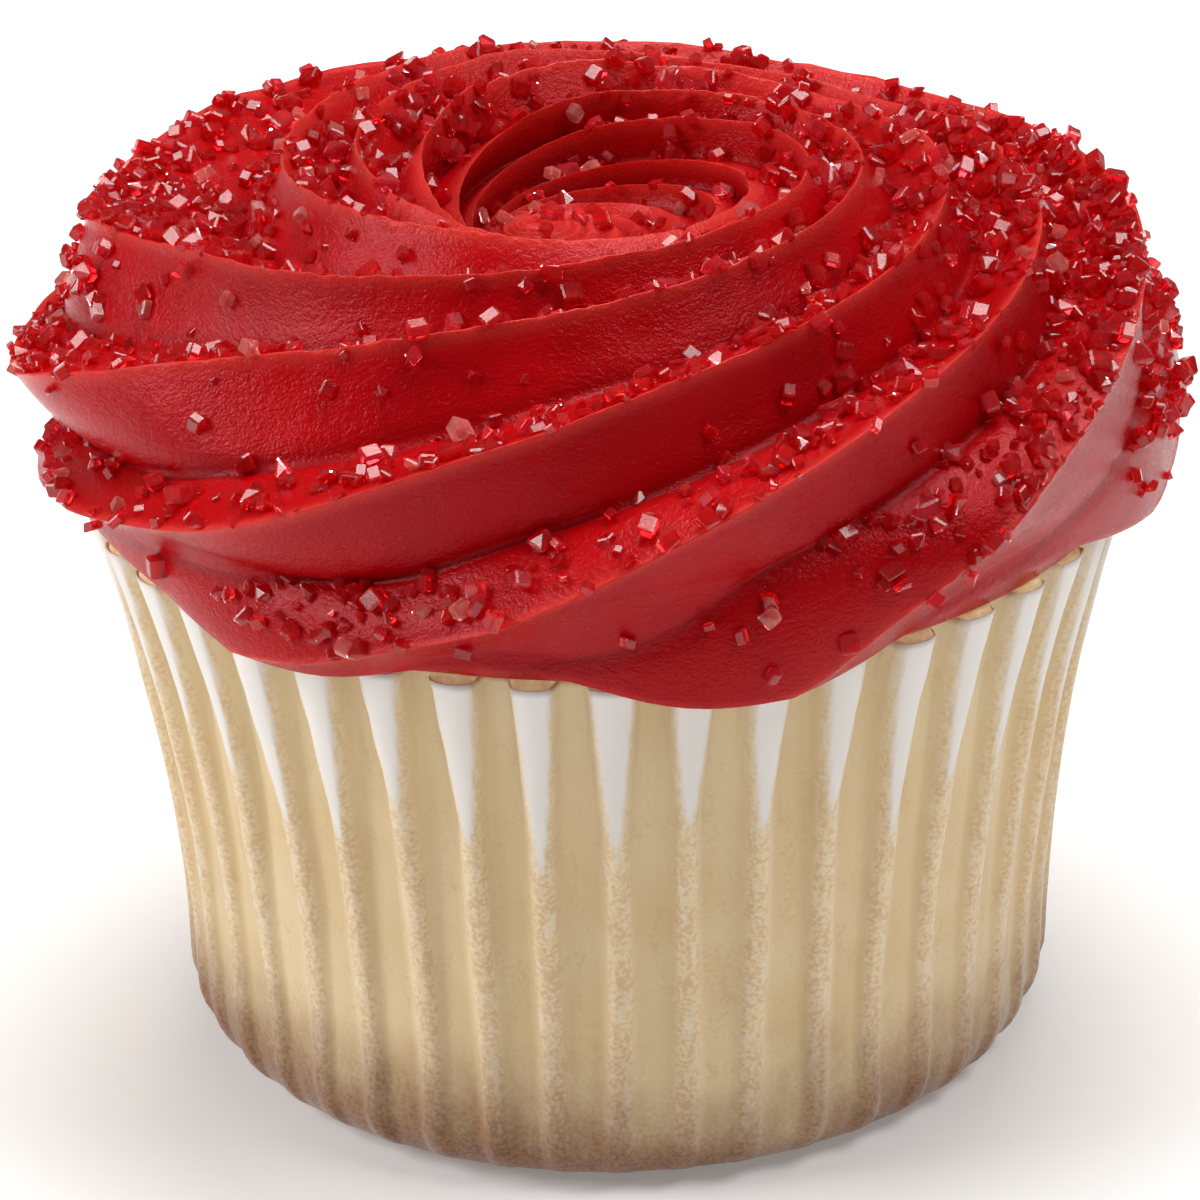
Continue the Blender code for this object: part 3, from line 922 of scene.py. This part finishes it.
# %% [markdown]
# ## The finish of the cream
# Red buttercream is a paste of fat and sugar: satin rather than glossy, with light that sinks a
# little way in. Thin crests let more light through, so they are painted paler and warmer, a
# painted light that also stands for the highlights along them. The creases are painted darker
# as painted shade, and the shelves a slightly warmer red as painted light. The skin has tiny
# pores and, where the nozzle dragged, fine wrinkles: two layers of noise.

# %% Cream material
CREAM_RED = (color(167, 1, 8), color(178, 2, 8))
# painted light: the slightly warmer red of the upward shelves
SHELF_PAINTED_LIGHT = color(173, 4, 8)
# painted shade: the darker red laid into the creases
CREASE_PAINTED_SHADE = color(110, 0, 4)
# painted light: the paler, warmer red along the crests, for light through them and their
# highlights
CREST_PAINTED_LIGHT = color(214, 62, 54)


def make_cream():
    cream = Finish("red_buttercream", Specular_IOR_Level=0.3, Subsurface_Weight=0.22,
                   Subsurface_Radius=(1.0, 0.12, 0.08), Subsurface_Scale=1.1 * MM,
                   Specular_Tint=(1.0, 0.42, 0.47, 1.0))
    crest, on_shelf, crease = cream.mask("crest"), cream.mask("shelf"), cream.mask("crease")
    broad = cream.grain(7.0, 2.0)
    pores = cream.grain(0.16, 3.0)
    wrinkles = cream.grain(0.5, 3.0, (1.0, 1.0, 1.6), 0.8)
    tone = cream.mix(cream.ramp(broad, 0.35, 0.65), *CREAM_RED)
    # painted light warms the shelves
    tone = cream.mix(on_shelf * 0.7, tone, SHELF_PAINTED_LIGHT)
    # painted shade darkens the creases
    tone = cream.mix(crease * 0.45, tone, CREASE_PAINTED_SHADE)
    # painted light and flecked painted highlights along the crests
    tone = cream.mix(crest * (0.2 + pores * 0.8), tone, CREST_PAINTED_LIGHT)
    cream.paint("Base Color", tone)
    cream.paint("Roughness", 0.14 + wrinkles * 0.2)
    cream.bump(wrinkles * 0.6 + pores * 0.4, 0.14, 0.85)
    return cream.material


rosette.data.materials.append(make_cream())
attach(rosette, "root")
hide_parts("frosting")
print("buttercream is ready")

# %% [markdown]
# ## Coarse sugar
# Sanding sugar is clear red crystals about a millimetre across: blocks with worn edges. They
# fall from above, so they lie thick on the shelves and shoulders and few stay on the steep
# faces. Scattering instances would be lighter, but each crystal here is real mesh, joined into
# one piece for each shade, so that the sugar is still there when the model is exported.

# %% How readily a crystal stays
STEEPNESS = (-0.25, 0.85)       # upward part of the normal, from none staying to all
HANGING = 0.16                  # how readily they stick to the skirt's steep edge
HANGING_LENGTHS = (41.0, 43.5)
THINNEST = 0.45                 # sugar between the heaps
# angle in degrees, length along the dome, spread in mm, and how much more sugar lies there
HEAPS = ((170.0, 30.0, 8.0, 2.6), (5.0, 31.0, 9.0, 2.4), (318.0, 38.0, 7.0, 1.7),
         (240.0, 42.0, 8.0, 0.7), (345.0, 38.0, 7.0, 1.1),
         (35.0, 24.0, 8.0, 1.2), (150.0, 21.0, 7.0, 1.0), (95.0, 32.0, 9.0, 1.2),
         (300.0, 27.0, 6.0, 0.9))
HEAP_ROUNDING = 0.8             # a length round the dome counts less than one along it
ON_FACE = 0.25                  # how readily they stay on a face, against 1 on a shelf
SHELF_PLACES = (0.45, 0.62)
CLUMP_SIZE = 3.0
LEAST_CLUMP = 0.25
MIDDLE_EXTRA = 0.3              # more sugar gathers in the middle of the swirl
MIDDLE_LENGTHS = (8.0, 16.0)


def surface_normals(points):
    """Unit normals of a grid of points, and the area round each point."""
    along = np.gradient(points, axis=0)
    across = np.roll(points, -1, axis=1) - np.roll(points, 1, axis=1)
    normals = np.cross(across, along)
    size = np.linalg.norm(normals, axis=-1)
    return normals / np.maximum(size, 1e-9)[..., None], size


def heaped_sugar(points, length):
    """How thickly the sugar was strewn over each point."""
    angle = np.arctan2(points[..., 1] - SWIRL_CENTRE[1], points[..., 0] - SWIRL_CENTRE[0])
    heaps = np.full(length.shape, THINNEST)
    for heap_angle, heap_length, spread, more in HEAPS:
        turn = (angle - math.radians(heap_angle) + math.pi) % (2.0 * math.pi) - math.pi
        distance = np.hypot(turn * length * HEAP_ROUNDING, length - heap_length)
        heaps += more * np.exp(-(distance / spread) ** 2)
    return heaps


def sugar_density(points, normals, length, place):
    """How readily a crystal stays at each point."""
    upward = smooth_step(*STEEPNESS, normals[..., 2])
    upward = np.maximum(upward, smooth_step(*HANGING_LENGTHS, length) * HANGING)
    on_shelf = ON_FACE + (1.0 - ON_FACE) * smooth_step(*SHELF_PLACES, place)
    clumps = LEAST_CLUMP + smooth_step(-0.35, 0.55, roughen(points, CLUMP_SIZE, 40.0))
    middle = 1.0 + MIDDLE_EXTRA - MIDDLE_EXTRA * smooth_step(*MIDDLE_LENGTHS, length)
    return upward * heaped_sugar(points, length) * on_shelf * clumps * middle


cream_normals, cream_area = surface_normals(cream_points)
density = sugar_density(cream_points, cream_normals, cream_length, cream_place)
print("sugar lies up to", round(float(density.max() / density.mean()), 1), "times the mean")

# %% [markdown]
# ## Where the crystals land
# Places are drawn at random, more often where a crystal stays more readily. Random places
# overlap, and testing every pair would be slow. So the space is cut into small cells, and a new
# crystal only looks for neighbours in the cells round its own.

# %% Draw the places
SUGAR_COUNT = 2250
TRIES = 3                       # places drawn for each crystal that is wanted
LEAST_APART = 0.6
JITTER = 0.15
BARE_ROWS = 4                   # mesh rows at the skirt's edge that stay bare
NEAR = (-1, 0, 1)


def is_free(point, cell, cells):
    """Whether no crystal in the cells round a point is too close to it."""
    near = [cells.get((cell[0] + i, cell[1] + j, cell[2] + k))
            for i in NEAR for j in NEAR for k in NEAR]
    return not any(other is not None and np.linalg.norm(other - point) < LEAST_APART
                   for other in near)


def landing_places():
    """Position and normal of each crystal, none too close to another."""
    rng = np.random.default_rng(21)
    weight = (cream_area * density)[BARE_ROWS:].reshape(-1)
    offset = BARE_ROWS * cream_points.shape[1]
    picks = rng.choice(len(weight), SUGAR_COUNT * TRIES, p=weight / weight.sum()) + offset
    flat_points, flat_normals = cream_points.reshape(-1, 3), cream_normals.reshape(-1, 3)
    kept, cells = [], {}
    for pick in picks:
        point = flat_points[pick] + rng.uniform(-JITTER, JITTER, 3)
        cell = tuple(np.floor(point / LEAST_APART).astype(int))
        if not is_free(point, cell, cells):
            continue
        cells[cell] = point
        kept.append((point, flat_normals[pick]))
        if len(kept) == SUGAR_COUNT:
            break
    return kept, rng


places, sugar_rng = landing_places()
print(len(places), "crystals find a place")

# %% [markdown]
# ## The shape of a crystal
# A crystal could be a plain cube, but a cube's edges catch no light. A bevelled cube does, and
# some crystals have lost a corner. Two templates are made once, then numpy copies them with
# their own size, skew and turn. Blender's own triangulation may list the triangles in another
# order on each run, so the flat faces are split into sorted fans, which come out the same.

# %% Crystal templates
WORN_EDGE = 0.12                # width of the bevel on a crystal of size 1
CORNER_CUT = {"plane_co": (0.22, 0.2, 0.2), "plane_no": (1.0, 0.8, 0.9)}


def face_fan(face):
    """Triangles of a flat face, fanned from its lowest point number."""
    numbers = [vertex.index for vertex in face.verts]
    start = numbers.index(min(numbers))
    numbers = numbers[start:] + numbers[:start]
    return [(numbers[0], second, third) for second, third in zip(numbers[1:], numbers[2:])]


def crystal_template(cut):
    """Points and triangles of a bevelled block, with one corner cut off if asked."""
    build = bmesh.new()
    bmesh.ops.create_cube(build, size=1.0)
    if cut:
        everything = build.verts[:] + build.edges[:] + build.faces[:]
        bmesh.ops.bisect_plane(build, geom=everything, clear_outer=True, **CORNER_CUT)
        bmesh.ops.holes_fill(build, edges=build.edges)
    bmesh.ops.bevel(build, geom=build.edges[:], offset=WORN_EDGE, segments=1, affect="EDGES")
    build.verts.index_update()
    points = np.array([vertex.co for vertex in build.verts])
    faces = sorted(triangle for face in build.faces for triangle in face_fan(face))
    build.free()
    return points, np.array(faces)


templates = [crystal_template(False), crystal_template(True)]
print("crystal templates have", [len(faces) for _, faces in templates], "triangles")

# %% Turn and join the crystals
SUGAR_SIZES = (0.7, 1.25)
SHRUNK = (1.0, 0.75, 0.5)
SHRUNK_SHARES = (0.6, 0.28, 0.12)
SECOND_SIDE = (0.65, 1.0)
THIRD_SIDE = (0.5, 0.9)
MOST_SKEW = 0.25
MOST_TILT = 0.7                 # radians
SUNK = (0.12, 0.42)             # height of the middle over the cream, in sizes
CUT_SHARE = 0.45                # share of crystals that have lost a corner


def crystal_points(template, point, normal, rng):
    """A template's points, sized, skewed, turned and set on the cream."""
    size = rng.uniform(*SUGAR_SIZES) * rng.choice(SHRUNK, p=SHRUNK_SHARES)
    sides = size * np.array([1.0, rng.uniform(*SECOND_SIDE), rng.uniform(*THIRD_SIDE)])
    skew = np.eye(3)
    skew[0, 1] = rng.uniform(-MOST_SKEW, MOST_SKEW)
    turns = rng.uniform((-MOST_TILT, -MOST_TILT, 0.0), (MOST_TILT, MOST_TILT, 6.28))
    stand = Vector(normal).to_track_quat("Z", "Y").to_matrix()
    placed = (template * sides) @ skew.T @ np.array(stand @ Euler(turns).to_matrix()).T
    return placed + point + normal * size * rng.uniform(*SUNK)


def join_crystals(name, share_of_places):
    """One mesh of all the crystals at some of the places."""
    points, faces, count = [], [], 0
    for point, normal in share_of_places:
        template_points, template_faces = templates[int(sugar_rng.random() < CUT_SHARE)]
        points.append(crystal_points(template_points, point, normal, sugar_rng))
        faces.append(template_faces + count)
        count += len(template_points)
    return add_piece(name, np.concatenate(points) * MM, np.concatenate(faces).tolist())


# %% [markdown]
# ## The finish of the sugar
# The crystals are clear and dyed, so they take their colour from what lies behind them, and
# their facets flash. A faint glow in each crystal's tint is painted light for the light that
# scatters inside it. Three shades are mixed: most are red, some pink, and a few pale, which
# are partly painted glints.

# %% Sugar materials
CLEARNESS = 0.85
CLOUDED = color(244, 60, 60)


def make_sugar(name, tint):
    # painted light: a faint glow in the crystal's own tint
    sugar = Finish(name, Roughness=0.13, IOR=1.5, Transmission_Weight=CLEARNESS,
                   Specular_IOR_Level=0.5, Emission_Color=tint, Emission_Strength=0.04)
    cloud = sugar.ramp(sugar.grain(0.8, 2.0), 0.4, 0.75)
    sugar.paint("Base Color", sugar.mix(cloud, tint, CLOUDED))
    return sugar.material


# the few pale crystals are partly painted glints
SHADES = (("sugar_red", color(226, 16, 26), 0.75), ("sugar_pink", color(240, 60, 74), 0.20),
          ("sugar_pale_glint", color(255, 170, 160), 0.05))
first = 0
for shade, tint, share in SHADES:
    last = first + round(share * len(places))
    crystals = join_crystals(shade, places[first:last])
    crystals.data.materials.append(make_sugar(shade, tint))
    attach(crystals, "root")
    first = last

# %% [markdown]
# ## The camera
# A long lens from a little above is how food is usually shown: it keeps the case upright and
# still looks into the swirl. The camera aims at a point over the middle and is turned slightly
# about its own axis.

# %% Camera
CAMERA_DISTANCE = 450.0
CAMERA_RISE = math.radians(27.476)
CAMERA_ROLL = math.radians(-1.4)
CAMERA_LENS = 223.5
CAMERA_LIFT = 15.0              # height of the point that the camera rises from
CAMERA_AIM = Vector((-0.62, 0.0, 26.0))


def make_camera():
    lens = bpy.data.cameras.new("camera")
    lens.lens = CAMERA_LENS
    lens.sensor_width = 36.0
    camera = bpy.data.objects.new("camera", lens)
    bpy.context.scene.collection.objects.link(camera)
    eye = Vector((0.0, -math.cos(CAMERA_RISE), math.sin(CAMERA_RISE))) * CAMERA_DISTANCE
    eye.z += CAMERA_LIFT
    look = (CAMERA_AIM - eye).to_track_quat("-Z", "Y").to_matrix().to_4x4()
    roll = Matrix.Rotation(CAMERA_ROLL, 4, "Z")
    camera.matrix_world = Matrix.Translation(eye * MM) @ look @ roll
    bpy.context.scene.camera = camera
    return camera


camera = make_camera()
print("camera stands at", [round(value, 3) for value in camera.location])

# %% [markdown]
# ## Light and floor
# Plain studio light: one large soft light high on the left, a smaller one on the right that
# draws highlights on the lower shelves, and one over the top. A dim white room fills the
# shadows, and a white floor throws light back up.

# %% Lights
LIGHT_AIM = Vector((0.0, 0.0, 25.0))
# name, place and size in mm, and power in watts
LIGHTS = (("left", (-460, -60, 300), 280, 1.65), ("right", (300, -120, 460), 220, 1.0),
          ("top", (20, 120, 500), 320, 2.1))


def area_light(name, place, size, power):
    light = bpy.data.lights.new(name, "AREA")
    light.shape = "DISK"
    light.size = size * MM
    light.energy = power
    lamp = bpy.data.objects.new(name, light)
    bpy.context.scene.collection.objects.link(lamp)
    lamp.location = Vector(place) * MM
    lamp.rotation_euler = (LIGHT_AIM - Vector(place)).to_track_quat("-Z", "Y").to_euler()


for light_values in LIGHTS:
    area_light(*light_values)
print(len(LIGHTS), "lights are on")

# %% Floor and room
FLOOR_HALF = 3000.0
FLOOR_GAP = 0.2                 # the floor lies this far under the case
FLOOR_WHITES = ((0.84, 0.84, 0.84, 1.0), (0.88, 0.88, 0.88, 1.0))
WHITE = (1.0, 1.0, 1.0, 1.0)
ROOM_LIGHT = 0.12


def make_floor():
    mesh = bpy.data.meshes.new("floor")
    build = bmesh.new()
    bmesh.ops.create_grid(build, x_segments=8, y_segments=8, size=FLOOR_HALF * MM)
    build.to_mesh(mesh)
    build.free()
    floor = bpy.data.objects.new("floor", mesh)
    floor.location.z = -FLOOR_GAP * MM
    bpy.context.scene.collection.objects.link(floor)
    finish = Finish("white_floor", Roughness=0.9, Emission_Strength=0.18, Emission_Color=WHITE)
    finish.paint("Base Color", finish.mix(finish.grain(60.0, 1.0), *FLOOR_WHITES))
    mesh.materials.append(finish.material)


def make_room():
    world = bpy.data.worlds.new("studio")
    world.use_nodes = True
    background = world.node_tree.nodes["Background"]
    background.inputs["Color"].default_value = WHITE
    background.inputs["Strength"].default_value = ROOM_LIGHT
    bpy.context.scene.world = world
    bpy.context.scene.view_settings.view_transform = "Standard"


make_floor()
make_room()
print("floor and room are ready")
